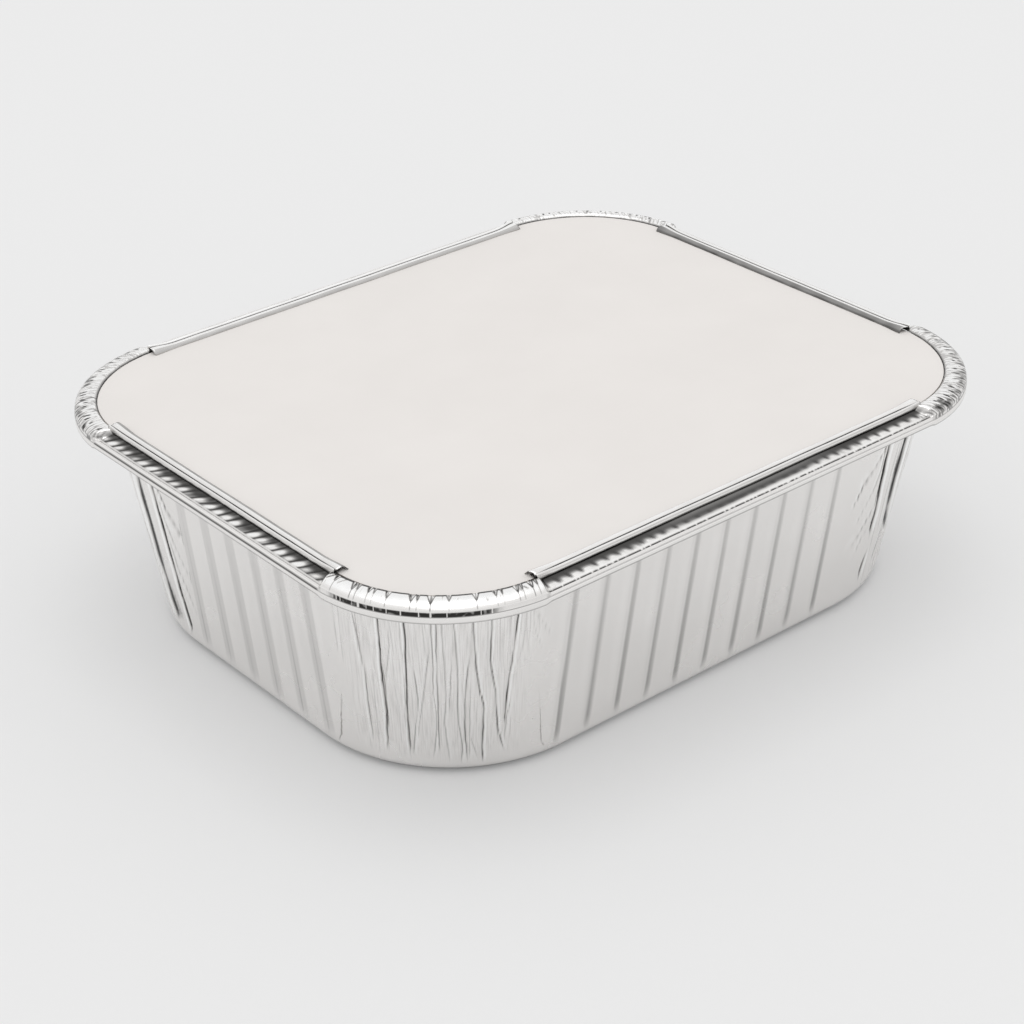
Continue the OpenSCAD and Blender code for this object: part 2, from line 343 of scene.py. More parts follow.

# Their painted shade, the heights of the deep ones' feet and kinks, and the tops and lengths of the fine ones
CHANCE_DARK = (0.3, 1)
CHANCE_FOOT = (3, 7)
HIGHEST_KINK = 36
FINE_DARK = (0.1, 0.3)
FINE_TOP = (15, 33)
FINE_LENGTH = (7, 20)
FINE_TO_RIM = 0.6
LOWEST_FOOT = 3


def chance_creases(corner, dice):
    """Deep creases of a corner: the ones that are set, and others spread over the rest of it by chance."""
    creases = list({LEFT_CORNER: LEFT_CREASES, RIGHT_CORNER: RIGHT_CREASES}.get(corner, ()))
    taken = [path[-1][0] for _, _, path, _ in creases]
    for i in range(CHANCE_CREASES):
        top = CHANCE_START + CHANCE_STRETCH * (i + 0.5 + dice.uniform(-0.3, 0.3)) / CHANCE_CREASES
        if any(abs(top - other) < LEAST_APART for other in taken):
            continue
        foot = dice.uniform(*CHANCE_FOOT)
        kinks = sorted(dice.uniform(foot + 3, HIGHEST_KINK) for _ in range(2))
        path = [(top + dice.uniform(-SIDEWAYS, SIDEWAYS), z) for z in (foot, *kinks)] + [(top, WALL_TOP)]
        creases.append((dice.uniform(*CHANCE_DARK), dice.choice((-1, 1)), path))
    return creases


def fine_creases(dice):
    """Short faint creases between the deep ones, most of them near the top."""
    creases = []
    for i in range(FINE_CREASES):
        top = FINE_START + FINE_STRETCH * (i + dice.random()) / FINE_CREASES
        high = WALL_TOP if dice.random() < FINE_TO_RIM else dice.uniform(*FINE_TOP)
        low = max(LOWEST_FOOT, high - dice.uniform(*FINE_LENGTH))
        path = ((top + dice.uniform(-SIDEWAYS, SIDEWAYS), low), (top, high))
        creases.append((dice.uniform(*FINE_DARK), dice.choice((-1, 1)), path))
    return creases


def corner_creases():
    corners = []
    for corner in CORNERS:
        dice = random.Random(CREASE_SEED + corner)
        rows = list(NEAR_CREASES) if corner == NEAR_CORNER else chance_creases(corner, dice)
        rows += fine_creases(dice)
        corners.append([Crease(corner * 70 + i, *row) for i, row in enumerate(rows)])
    return corners


# The walls and floor

# Steps in mm between the columns of the straight walls and of each corner, finest in the near one
BODY_STEP = 0.45
BODY_STEPS = (0.1, 0.3, 0.1, 0.075)
FOOT_ROWS = 6
FOOT_Z = 8
WALL_ROWS = 24
FOLD_STEPS = 5
SHELF_R = 0.8
# Rows of the floor: inset and height. Rows under the rim: inset and share of the way up to the shelf.
FLOOR_ROWS = ((BASE[1], PANEL_H), (15, PANEL_H), (11, PANEL_H), (9.8, 0.45), (8.5, 0), (5.5, 0))
UNDER_RIM = ((5.7, 0.8), (5.2, 1.0), (3.4, 0.7), (0.9, 0.12))

# Ribs: the middles of their dark stretches at RIB_MID_Z along X and Y, how far they lean in mm for each mm of
# height, and the widths and height of the raised bar beside each
LONG_RIBS = [-35.2 + 7.02 * i for i in range(10)]
SHORT_RIBS = [-21.5 + 7.55 * i for i in range(6)]
RIB_MID_Z = 20
LONG_LEAN = 0.056
SHORT_LEAN = 0.066
RIB_FLAT = 1.4
RIB_SLOPE = 1.3
RIB_H = 0.16
BAR_BESIDE = 1.2

# Painted shade of a rib at RIB_MID_Z, and how much lighter it gets for each mm of height
RIB_SHADE = 0.32
RIB_FADE = 0.008

# Edges of a long rib's band of painted shade and of the soft painted shade beside it, in mm from the rib's middle.
# A short wall's rib has a thin painted dark line and a wider painted shade.
LONG_BAND = (-0.75, 0.9)
LONG_SHADE = (-1.9, 0.3)
SHORT_LINE = 0.22
SHORT_SHADE = (-2.0, 1.7)

# Half the stretch of a long and of a short wall whose columns lean with the ribs, and the stretch where that ends
LONG_LEANING = 44
SHORT_LEANING = 32
LEAN_FADE = 6

# Sizes in mm of the soft pleats of the corners and of the slow waves of all the foil, and their heights
PLEAT_SIZE = 1.6
PLEAT_H = 0.04
FOOT_PLEAT_H = 0.5
WAVE_SIZE = 16
WAVE_H = 0.04

# Painted contact shadow: darkness of the line where the foil meets another surface
CONTACT_SHADOW = 0.93


def wall_outline(z):
    t = (z - FOLD_R) / (RIM_Z - FOLD_R)
    return tuple(mix(at_base, at_mouth, t) for at_base, at_mouth in zip(BASE, MOUTH))


def tray_rows():
    """Rows from the middle of the floor to under the rim: (outline, inset, z, share of the relief)."""
    rows = [(BASE, inset, z, 0) for inset, z in FLOOR_ROWS]
    for i in range(FOLD_STEPS):
        a = math.radians(90 * i / FOLD_STEPS)
        rows.append((BASE, FOLD_R * (1 - math.sin(a)), FOLD_R * (1 - math.cos(a)), 0.1 * i / FOLD_STEPS))
    heights = [mix(FOLD_R, FOOT_Z, i / FOOT_ROWS) for i in range(FOOT_ROWS)]
    heights += [mix(FOOT_Z, SHELF_Z - SHELF_R, i / WALL_ROWS) for i in range(WALL_ROWS + 1)]
    rows += [(wall_outline(z), 0, z, fade_in(z, 1.5, 3)) for z in heights]
    rows += [(RIM, inset, mix(RIM_Z + 0.1, SHELF_Z, rise), 0) for inset, rise in UNDER_RIM]
    return rows


def rib_relief(x, y, z, out):
    """Height and painted shade of the wall's ribs at a place."""
    long_wall = abs(out[1]) > 0.9
    if not long_wall and abs(out[0]) < 0.95:
        return 0, 0
    place, ribs, lean = (x, LONG_RIBS, LONG_LEAN) if long_wall else (y, SHORT_RIBS, SHORT_LEAN)
    place -= lean * (z - RIB_MID_Z)
    d = min((place - rib for rib in ribs), key=abs)
    end = fade_in(z, 1.5, 4.5) * fade_out(z, WALL_TOP, 2)
    height = RIB_H * fade_out(abs(d + BAR_BESIDE), RIB_FLAT / 2 + RIB_SLOPE, RIB_SLOPE) * end
    deep = RIB_SHADE - RIB_FADE * (z - RIB_MID_Z)
    if long_wall:
        band = fade_in(d, LONG_BAND[0], 0.2) * fade_out(d, LONG_BAND[1], 0.4)
        beside = 0.07 * fade_in(d, LONG_SHADE[0], 0.5) * fade_out(d, LONG_SHADE[1], 0.4)
        shade = deep * band * (1 - 0.25 * clamp(d / 0.5)) + beside
    else:
        band = peak(d, SHORT_LINE)
        beside = 0.17 * fade_in(d, SHORT_SHADE[0], 0.5) * fade_out(d, SHORT_SHADE[1], 0.5)
        shade = deep * band + beside * (1 - band)
    return height, shade * end


def add_creases(crossings, place, relief, dark):
    """Relief and painted shade of a point with its corner's creases added, and the painted highlight of their
    ridges.
    """
    light = 0
    for middle, depth, shade, width, ridge_side in crossings:
        d = (place - middle) / width
        if abs(d) < 1.2:
            deep, tone = across_crease(d, ridge_side)
            relief -= depth * deep
            core = peak(d, 0.09 + 0.05 * shade)
            dark = max(dark, shade * (core + max(0, tone)))
            light = min(light, shade * min(0, tone))
    return relief, dark, light


def make_tray_body():
    columns = round_trip(BODY_STEP, BODY_STEPS, CREASED)
    rows = tray_rows()
    corners = corner_creases()
    levels = []
    for outline, inset, z, share in rows:
        level = []
        for corner in CORNERS:
            way = sum(corner_parts(outline, inset, corner))
            crossings = [crease.crossing(z, way) for crease in corners[corner]] if share > 0.1 else []
            level.append((way, [crossing for crossing in crossings if crossing]))
        levels.append(level)

    def shape(i, j):
        outline, inset, z, share = rows[j]
        side, _, turn = columns[i]
        if j == 0:
            return 0, 0, z, 0, 0
        x, y, out = spot(outline, inset, columns[i])
        if abs(out[1]) > 0.99:
            x += LONG_LEAN * (z - RIB_MID_Z) * share * fade_out(abs(x), LONG_LEANING, LEAN_FADE)
        elif abs(out[0]) > 0.99:
            y += SHORT_LEAN * (z - RIB_MID_Z) * share * fade_out(abs(y), SHORT_LEANING, LEAN_FADE)
        if share == 0:
            return x, y, z, 0, 0
        relief, dark = rib_relief(x, y, z, out)
        light, crush = 0, 0
        if turn is not None:
            way, crossings = levels[j][side]
            place = turn * way
            relief, dark, light = add_creases(crossings, place, relief, dark)
            crush = fade_in(min(turn, 1 - turn), 0.17, 0.1) * fade_in(z, 2, 5)
            foot = peak(z - 4, 1.4)
            relief += FOOT_PLEAT_H * foot * crush * max(0, wobble(place, 0, 0, PLEAT_SIZE, side + 5))
            relief += PLEAT_H * crush * wobble(place, 0, z / 6, PLEAT_SIZE, side)
        relief += WAVE_H * wobble(x, y, z, WAVE_SIZE)
        relief *= share
        # Painted contact shadow along the foot
        dark = max(dark, CONTACT_SHADOW * fade_out(z, 1.4, 0.9))
        # Painted shade, and where there is little of it, the painted highlight of the creases' ridges
        fold = min(max(dark if dark > 0.12 else dark + light, -1), 1)
        return x + out[0] * relief, y + out[1] * relief, z, fold, crush

    return blank("tray_body", len(columns), len(rows), shape)


# The rim: band, bead, groove, rippled flange and crimped corners

RIM_STEP = 0.25
RIM_STEPS = (0.12, 0.14, 0.12, 0.08)

# Section of the rim from the turned edge inward: inset, z and painted shade, first on a side, then at a corner
RIM_SECTION = (
    ((0.60, 40.30, 0.5), (0.60, 40.10, 0.5)),
    ((0.35, 40.02, 0.5), (0.35, 39.75, 0.5)),
    ((0.15, 39.92, 0.6), (0.15, 39.60, 0.6)),
    ((0.04, 39.98, 0.6), (0.04, 39.66, 0.5)),
    ((0.00, 40.13, 0.45), (0.00, 39.82, 0.3)),
    ((0.00, 40.27, 0), (0.00, 40.00, 0)),
    ((0.00, 40.74, 0), (0.00, 40.74, 0)),
    ((0.10, 40.85, 0.3), (0.08, 40.88, 0.6)),
    ((0.12, 40.96, 0.3), (0.14, 40.98, 1)),
    ((0.07, 41.05, 0), (0.16, 41.10, 1)),
    ((0.03, 41.18, 0), (0.17, 41.22, 1)),
    ((0.05, 41.32, 0), (0.17, 41.36, 1)),
    ((0.15, 41.45, 0), (0.16, 41.50, 1)),
    ((0.30, 41.51, 0), (0.14, 41.64, 0.9)),
    ((0.46, 41.48, 0), (0.14, 41.76, 0.2)),
    ((0.56, 41.41, 0.7), (0.20, 41.90, 0)),
    ((0.64, 41.32, 1), (0.32, 42.06, 0)),
    ((0.82, 41.32, 1), (0.50, 42.22, 0)),
    ((0.93, 41.40, 0.4), (0.72, 42.38, 0)),
    ((1.15, 41.50, 0), (0.96, 42.52, 0)),
    ((1.35, 41.58, 0), (1.22, 42.64, 0)),
    ((1.60, 41.66, 0), (1.50, 42.74, 0)),
    ((1.90, 41.72, 0), (1.80, 42.82, 0)),
    ((2.20, 41.79, 0), (2.10, 42.88, 0)),
    ((2.50, 41.87, 0), (2.40, 42.92, 0)),
    ((2.80, 41.96, 0), (2.75, 42.93, 0)),
    ((3.10, 42.06, 0), (3.10, 42.93, 0)),
    ((3.25, 42.12, 0), (3.32, 42.92, 0)),
    ((3.40, 42.18, 0), (3.55, 42.90, 0)),
    ((3.70, 42.30, 0), (3.76, 42.86, 0.4)),
    ((4.00, 42.38, 0), (3.94, 42.66, 0.9)),
    ((4.25, 42.44, 0), (4.25, 42.46, 0.95)),
)

# The flange's ripples on a long and a short side: pitch and slant in mm for each mm of inset
LONG_RIPPLE = (2.6, 0.42)
SHORT_RIPPLE = (2.6, 0.93)
RIPPLE_H = 0.07

# The middle of the long flanges is nearly smooth: half its length, and the stretch over which the ripples grow
SMOOTH_MIDDLE = 10
RIPPLES_GROW = 16

# Insets of the lit strip's inner edge, of the long ripples' petals and of the short ripples' glints
LIT_EDGE = 1.3
PETAL_MIDDLE = 1.75
GLINT_MIDDLE = 1.8

# Rows of the section up to the top of the plain band, which is straighter than the rest
PLAIN_ROWS = 9

# Heights of the painted dark line of shade under the bead and of its lower side, and the insets of the groove
# beside it, which gets painted shade
BEAD_LINE_Z = 40.95
BEAD_Z = 41
BEAD_GROOVE = (0.5, 0.95)

# How far in the bead of the short sides stands back
SHORT_BEAD_BACK = 0.35

# Darkness of the foil where it mirrors the room's light, and where it lies in the hem's shade
GLINT = -0.7
HEM_SHADE = 0.92

# How far into a corner's arc the crimp begins, and the stretch over which it grows, in mm
CRIMP_START = 0.8
CRIMP_GROWS = 1.4

# The crimps: seed and number of a corner's cuts, the range of their sizes, how many have a small cut beside them
# and how far off, how deep they press the foil, and the pitch of the oval dents, which get painted shade
TUCK_SEED = 311
TUCKS = 12
TUCK_SIZES = (0.4, 1)
PAIRED_SHARE = 0.4
PAIR_APART = (0.9, 1.4)
TUCK_DEPTH = 0.15
OVAL_PITCH = 1.7

# Insets where the cuts end and where the painted dark line of shade at the lid's edge begins, and how far past
# the hems the near corner's painted dark streaks reach
CUT_END = 3.3
LID_EDGE_SHADE = 3.12
STREAKS_REACH = 9

# Heights between which the painted dark band of the corners runs, a painted dark reflection
BAND_LOW = 40.9
BAND_HIGH = 41.85


def past_straight(column):
    """How far in mm a column of the rim lies inside the corner's arc, counted from the nearer end of the arc."""
    side, _, turn = column
    if turn is None:
        return -CORE[0]
    before, arc, after = corner_parts(RIM, 0, side)
    way = turn * (before + arc + after) - before
    return min(way, arc - way)


def tuck_places(corner):
    """Cuts of a crimped corner: how far along the corner in mm, size and half width."""
    dice = random.Random(TUCK_SEED + corner)
    way = sum(corner_parts(RIM, 0, corner))
    places = []
    for i in range(TUCKS):
        place = way * mix(0.2, 0.8, (i + 0.5 + dice.uniform(-0.3, 0.3)) / TUCKS)
        size = dice.uniform(*TUCK_SIZES)
        places.append((place, size, 0.4 * size + 0.25))
        if dice.random() < PAIRED_SHARE:
            places.append((place + dice.uniform(*PAIR_APART), size * 0.7, 0.2 * size + 0.1))
    return places


def flange_ripple(x, y, along, inset, on_long, sign):
    """Darkness and rise of the rippled flange in the hem's shade."""
    pitch, slope = LONG_RIPPLE if on_long else SHORT_RIPPLE
    slant = along * sign + slope * inset + 0.6 * wobble(x, y, 0, 6, 5)
    wave = (slant / pitch) % 1
    lens = math.sin(math.pi * wave)
    edge = min(wave, 1 - wave)
    hairs = wobble(slant, inset * 0.1, on_long * 40, 0.8, 13)
    if on_long:
        # A lit outer strip, from which petals of light reach into the shade, with a dent between each two
        rippled = 0.1 + 0.9 * fade_in(abs(along), SMOOTH_MIDDLE, RIPPLES_GROW)
        size = clamp(0.8 + 0.9 * wobble(slant, 40, 0, 4.3, 8))
        lit = LIT_EDGE + 0.15 * wobble(along, 9, 0, 7, 4) + 0.25 * rippled * hairs
        dark = 0.9 * fade_in(inset, lit, 0.7) - 0.2 * fade_in(inset, 2.2, 1.2) * (1 - rippled)
        dark = mix(-0.6, dark, fade_in(inset - lit, -0.3, 0.4))
        petal = clamp(1.5 * lens ** 1.6 * size * (1 + 0.8 * hairs)) * peak(inset - PETAL_MIDDLE, 0.5)
        dark = mix(dark, -0.2, rippled * petal)
        dent = rippled * peak(edge, 0.07) * fade_in(inset, 1.2, 0.4)
        dark = mix(dark, HEM_SHADE, 0.5 * dent)
    else:
        # Shade all over, with a slanted glint on each ripple
        rippled = 1
        size = clamp(0.55 + 1.3 * wobble(slant, 9, 0, 3.1, 8))
        dark = mix(0.62, HEM_SHADE, fade_in(inset, 1, 1.5)) - 0.2 * max(0, hairs)
        glint = clamp(1.6 * lens ** 2 * peak(inset - GLINT_MIDDLE, 0.4 + 0.35 * size) * size)
        dent = peak(edge, 0.1) * fade_in(inset, 0.9, 0.3)
        dark = mix(mix(dark, GLINT, glint * clamp(1 + 0.9 * hairs)), 0.95, dent)
    return dark, RIPPLE_H * rippled * size * (lens - 0.5) * fade_in(inset, 0.9, 0.5) * fade_out(inset, 3.6, 1)


def side_rim(x, y, z, out, inset, dark, crimped):
    """Place, painted shade and rise of the rim on a straight side, as far as it isn't crimped yet."""
    rise = 0
    on_long = abs(out[1]) > abs(out[0])
    along = x if on_long else y
    if not on_long:
        back = SHORT_BEAD_BACK * fade_in(z, BEAD_Z, 0.2) * fade_out(inset, 1.6, 0.8)
        x, y = x - out[0] * back * (1 - crimped), y - out[1] * back * (1 - crimped)
        if inset < 0.3:
            # A painted dark line of shade under the bead
            dark = max(dark, 0.97 * (1 - crimped) * peak(z - BEAD_LINE_Z, 0.14, 4))
    if BEAD_GROOVE[0] < inset < BEAD_GROOVE[1]:
        # Painted shade in the groove beside the bead, broken in jags on a long side
        jag = clamp(1.7 + 4.5 * wobble(along, 9, 0, 0.45, 3)) if on_long else 0.2
        dark = mix(dark * jag, dark, crimped)
    elif inset > BEAD_GROOVE[1]:
        sign = 1 if out[0] + out[1] < 0 else -1
        shade, ripple = flange_ripple(x, y, along, inset, on_long, sign)
        dark = mix(shade, dark, crimped)
        rise = ripple * (1 - crimped)
    return x, y, dark, rise


def near_band(way, z):
    """Share of the near corner's painted dark band that is left between its gaps."""
    before, arc, _ = corner_parts(RIM, 0, NEAR_CORNER)
    way_in = way - before
    ends = fade_in(way_in, 3, 3) * fade_in(arc - way_in, 9, 4)
    gaps = abs(wobble(way, NEAR_CORNER * 30, 0, 5.1, 7))
    if ends < 0.95 or way_in < 14:
        gaps = min(gaps, abs(wobble(way, NEAR_CORNER * 30, 0, 2.6, 6)))
    return fade_in(gaps, 0.004, 0.014) * ends * clamp(1.05 + 0.6 * wobble(way, 0, z, 0.7, 4))


def far_band(way, past, corner):
    """Share of another corner's painted dark band that is left, in short dashes."""
    return 0.7 * fade_in(-wobble(way, corner * 30, 0, 0.55, 6), 0.05, 0.15) * fade_in(past, 1, 2)


def cut_tucks(way, inset, crimped, dark, tucks):
    """Painted shade with the V-shaped cuts of a corner added, and how far they press the foil down."""
    depth = 0
    for place, size, width in tucks:
        d = abs(way - place)
        if d < width + 0.5:
            start = 2.3 - 1.1 * size
            reach = clamp((inset - start) / (CUT_END - start))
            spread = width * reach
            inside = fade_out(d, spread + 0.05, 0.1) * fade_in(reach, 0.05, 0.1)
            edge = peak(d - spread, 0.13) * fade_in(reach, 0.02, 0.1)
            hair = peak(d, 0.1) * fade_in(inset, 0.1, 0.3)
            # Painted shade inside a cut, lighter and darker at random
            cut_shade = clamp(0.3 + 1.8 * wobble(way, inset * 0.2, place, 0.26, 9))
            dark = mix(dark, cut_shade, inside * crimped)
            dark = max(dark, crimped * size ** 0.2 * edge, crimped * 0.85 * size * hair)
            depth += TUCK_DEPTH * size * inside * crimped
    return dark, depth


def near_crimp(way, inset, turn, past, crimped, dark, tucks):
    """Painted shade and rise of the near corner: foil with a painted highlight, faint folds and V cuts in painted
    shade, and painted dark streaks beside the hems.
    """
    crimp = fade_in(inset, 0.5, 0.6) * crimped
    folds = wobble(way, inset * 0.12, NEAR_CORNER * 20, 1.1, 21)
    kept = smooth(1.2 * wobble(way, inset, NEAR_CORNER * 20, 1.3, 22) + 0.1)
    # Faint fold lines in painted shade
    dark = max(dark, crimp * 0.5 * kept * peak(folds, 0.05))
    # Painted shade along the lid's edge
    dark = max(dark, CONTACT_SHADOW * crimp * fade_in(inset, LID_EDGE_SHADE, 0.1))
    # Painted dark streaks beside the hems
    lean = 0.8 if turn > 0.5 else -0.8
    streak = wobble(way + lean * inset, inset * 0.06, NEAR_CORNER * 20, 0.8, 17)
    beside_hem = fade_in(past, 0.2, 0.8) * fade_out(past, STREAKS_REACH, 6)
    dark = max(dark, 0.9 * beside_hem * fade_in(streak, 0.04, 0.2) * fade_in(inset, 1.3, 0.9))
    dark, depth = cut_tucks(way, inset, crimped, dark, tucks)
    # Painted highlight where the foil has little shade
    if dark < 0.1:
        dark = mix(dark, GLINT, crimp)
    return dark, 0.05 * crimp * wobble(way, inset * 0.3, NEAR_CORNER * 20, 1.9, 12) - depth


def far_lines(way, inset, corner):
    """Painted shade of slanted radial lines, closest at the outside, and of oval dents."""
    slanted = way + 0.4 * inset
    outer = fade_out(inset, 2.6, 2)
    lines = wobble(slanted, inset * 0.14, corner * 20, 0.95, 21)
    kept = smooth(1.6 * wobble(way, inset * 1.2, corner * 20, 1.2, 22) + 0.55 + 0.3 * outer)
    dark = kept * (0.75 + 0.23 * outer) * peak(lines, mix(0.055, 0.15, outer))
    hairs = wobble(slanted, inset * 0.2, corner * 20, 0.6, 23)
    dark = max(dark, (0.3 + 0.5 * outer) * peak(hairs, 0.12))
    cell = math.floor(way / OVAL_PITCH)
    chance = random.Random(cell * 4 + corner)
    across = way - OVAL_PITCH * (cell + 0.5 + chance.uniform(-0.25, 0.25))
    middle = 1.9 + chance.uniform(-0.4, 0.5)
    oval = (across / 0.24) ** 2 + ((inset - middle) / chance.uniform(0.35, 0.8)) ** 2
    if chance.random() < 0.75:
        dark = max(dark, 0.97 * smooth(1.6 - oval))
    return dark


def far_crimp(way, inset, z, past, crimped, dark, corner):
    """Painted shade and rise of another corner, whose foil is finely lined with painted dark lines and gets a
    painted highlight between them.
    """
    crimp = fade_in(inset, 0.5, 0.6) * crimped
    over = fade_in(z, 41.1, 0.4) * fade_in(past, -0.6, 1.2) * fade_in(inset + crimped, 0.9, 0.3)
    # Less painted shade where the crimp meets the lid's edge
    dark *= 1 - crimped * fade_in(inset, 3.6, 0.1) * fade_out(inset, 4.2, 0.4)
    lines = far_lines(way, inset, corner)
    dark = max(dark, over * lines)
    if dark <= 0.1:
        # Painted highlight where there is little shade
        dark = mix(dark, GLINT, over * fade_in(inset, 0.6, 0.6))
    return dark, crimp * (0.06 * wobble(way, inset * 0.3, corner * 20, 1.9, 12) - 0.08 * lines)


def make_rim():
    columns = round_trip(RIM_STEP, RIM_STEPS, CRIMPED)
    tucks = tuck_places(NEAR_CORNER)

    def shape(i, j):
        side, _, turn = columns[i]
        past = past_straight(columns[i])
        crimped = fade_in(past, CRIMP_START, CRIMP_GROWS)
        inset, z, dark = (mix(p, q, crimped) for p, q in zip(*RIM_SECTION[j]))
        x, y, out = spot(RIM, inset, columns[i])
        rise, crush = 0, 0
        if crimped < 1:
            x, y, dark, rise = side_rim(x, y, z, out, inset, dark, crimped)
        if past > -0.6 and turn is not None:
            way = turn * sum(corner_parts(RIM, 0, side))
            near = side == NEAR_CORNER
            crush = (0.15 if near else 0.5) * crimped * fade_in(inset, 0.4, 0.4)
            # The corners' painted dark band, a painted dark reflection
            band = fade_in(z, BAND_LOW, 0.1) * fade_out(z, BAND_HIGH, 0.15)
            if band > 0:
                kept = near_band(way, z) if near else far_band(way, past, side)
                dark = mix(dark, dark * kept, band * crimped)
            if near:
                dark, lift = near_crimp(way, inset, turn, past, crimped, dark, tucks)
            else:
                dark, lift = far_crimp(way, inset, z, past, crimped, dark, side)
            rise += lift
        rise += 0.03 * wobble(x, y, z, 5, 2) * (1 if j >= PLAIN_ROWS else 0.4)
        return x, y, z + rise, dark, crush

    return blank("rim_flange", len(columns), len(RIM_SECTION), shape)


# The hem: four rolled strips on the lid

# Section from the lip on the lid outward and back under itself: inset, height over the lid and painted shade,
# which below 0 is a painted highlight
HEM_SECTION = (
    (6.00, 0.03, 0.8), (5.86, 0.20, 0.8), (5.72, 0.38, 0.65), (5.58, 0.50, 0.65), (5.46, 0.56, 0.65),
    (5.34, 0.60, 0.6), (5.22, 0.63, 0.5), (5.12, 0.63, -0.9), (4.92, 0.61, -0.5), (4.74, 0.57, -0.1),
    (4.61, 0.52, 0.1), (4.54, 0.46, 0.85), (4.45, 0.40, 1), (4.30, 0.37, 1), (4.21, 0.43, 0.85),
    (4.12, 0.54, -0.4), (4.02, 0.64, -0.9), (3.90, 0.71, -0.9), (3.76, 0.71, -0.3), (3.62, 0.63, 0.1),
    (3.52, 0.50, 0.3), (3.44, 0.33, 0.1), (3.40, 0.10, 0.5), (3.44, -0.08, 0.95), (3.60, -0.20, 0.95),
    (3.90, -0.16, 0.95), (4.16, 0.00, 0.95), (4.40, 0.14, 0.95), (4.66, 0.20, 0.95), (4.92, 0.26, 0.95),
    (5.16, 0.34, 0.95),
)
# Insets of its foot and its lip, how many of its rows are the lip, and the least height of those over the lid
HEM_FOOT = 3.4
HEM_LIP = 6
LIP_ROWS = 7
LEAST_LIFT = 0.03

# Step in mm along the hem, how far it runs on past each end of its side, and the thickness of its foil
HEM_STEP = 0.4
HEM_OVER = 1.25
HEM_THICK = 0.1
HEM_CRUSH = 0.2

# Inset of the groove between the hem's two rolls: in HEM_SECTION and on a long side, on a short side and at an end
LONG_GROOVE = 4.38
SHORT_GROOVE = 4.05
END_GROOVE = 3.7

# Length over which a hem's end flares, and how much it gets higher and wider there
FLARE = 6
FLARE_UP = 0.55
FLARE_OUT = 0.12


def make_hem(side):
    half_run, half_across = halves(RIM, side)
    half_length = half_run - RIM[2] + HEM_OVER
    columns = round(2 * half_length / HEM_STEP)
    out, along = OUT[side], RUN[side]
    on_long = side % 2 == 0
    own = side * 50

    def shape(i, j):
        inset, height, dark = HEM_SECTION[j]
        # Painted highlight on a long side's lip
        if on_long and j < LIP_ROWS:
            dark = 0.5 * dark if inset > 5.4 else -0.8
        run = half_length * (2 * i / columns - 1)
        flare = smooth(1 - (half_length - abs(run)) / FLARE) ** 1.4
        groove = mix(LONG_GROOVE if on_long else SHORT_GROOVE, END_GROOVE, flare)
        if inset > LONG_GROOVE:
            inset = mix(groove, HEM_LIP, (inset - LONG_GROOVE) / (HEM_LIP - LONG_GROOVE))
        else:
            inset = mix(HEM_FOOT, groove, (inset - HEM_FOOT) / (LONG_GROOVE - HEM_FOOT))
        inset = HEM_FOOT + (inset - HEM_FOOT) * (1 + FLARE_OUT * flare + 0.05 * wobble(run, own, 0, 13))
        height *= 1 + FLARE_UP * flare + 0.1 * wobble(run, own, 0, 12, 2)
        inset += 0.06 * wobble(run, own, 0, 16, 1)
        dent = wobble(run, own, j * 0.6, 2.5, 6)
        height += 0.015 * dent
        run += 0.35 * wobble(j * 0.8, side * 9, 0, 3, 4) * flare
        if inset > 4.3:
            height = max(height, LEAST_LIFT)
        # The painted shade and painted highlight vary with the dents
        dark = dark * (1 + 0.15 * dent) if dark > 0 else dark * (0.7 + 0.5 * dent)
        across = half_across - inset
        x, y = out[0] * across + along[0] * run, out[1] * across + along[1] * run
        return x, y, LID_TOP + height, dark, HEM_CRUSH

    piece = blank("hem_" + SIDE_NAMES[side], columns, len(HEM_SECTION), shape, closed=False)
    wall = piece.modifiers.new("wall", "SOLIDIFY")
    wall.thickness = HEM_THICK * MM
    wall.offset = 0
    return piece


# The lid

LID_CORNER_STEPS = 24
LID_EDGE = 0.06
LID_EDGE_STEPS = 2


def round_edges(bm, edges, radius, steps):
    bmesh.ops.bevel(
        bm, geom=edges, offset=radius * MM, offset_type="OFFSET",
        affect="EDGES", segments=steps, profile=0.5, material=-1,
    )


def make_lid():
    bm = bmesh.new()
    bmesh.ops.create_cube(bm, size=1)
    size = [high - low for low, high in zip(lid_low, lid_high)]
    middle = [(high + low) / 2 for low, high in zip(lid_low, lid_high)]
    bmesh.ops.scale(bm, vec=size, verts=bm.verts)
    bmesh.ops.translate(bm, vec=middle, verts=bm.verts)
    uprights = [e for e in bm.edges if abs(e.verts[0].co.z - e.verts[1].co.z) > size[2] / 2]
    round_edges(bm, uprights, RIM[2] - (RIM[0] - lid_high[0] / MM), LID_CORNER_STEPS)
    flats = [f for f in bm.faces if abs(f.normal.z) > 0.9]
    flat_edges = list(dict.fromkeys(e for f in flats for e in f.edges))
    round_edges(bm, flat_edges, LID_EDGE, LID_EDGE_STEPS)
    return add_piece("lid_sheet", bm)


# Materials

# Foil: its two plain tones, the painted shade and painted highlight of its fine wrinkle streaks, a painted
# highlight on a ridge and the painted shade of a crease
FOIL_TONES = ((0.82, 0.805, 0.79), (0.92, 0.905, 0.89))
STREAK_SHADE = (0.3, 0.295, 0.29)
STREAK_HIGHLIGHT = (0.99, 0.985, 0.98)
RIDGE_HIGHLIGHT = (1, 1, 0.995)
CREASE_SHADE = (0.02, 0.019, 0.018)

# Board: its two tones on the faces, and the brown of its cut edge, darkened with painted shade
BOARD_TONES = ((0.775, 0.745, 0.72), (0.825, 0.795, 0.77))
BOARD_EDGE_AND_SHADE = (0.42, 0.33, 0.26)


def new_material(name):
    material = bpy.data.materials.new(name)
    material.use_nodes = True
    tree = material.node_tree
    return material, tree, tree.nodes["Principled BSDF"]


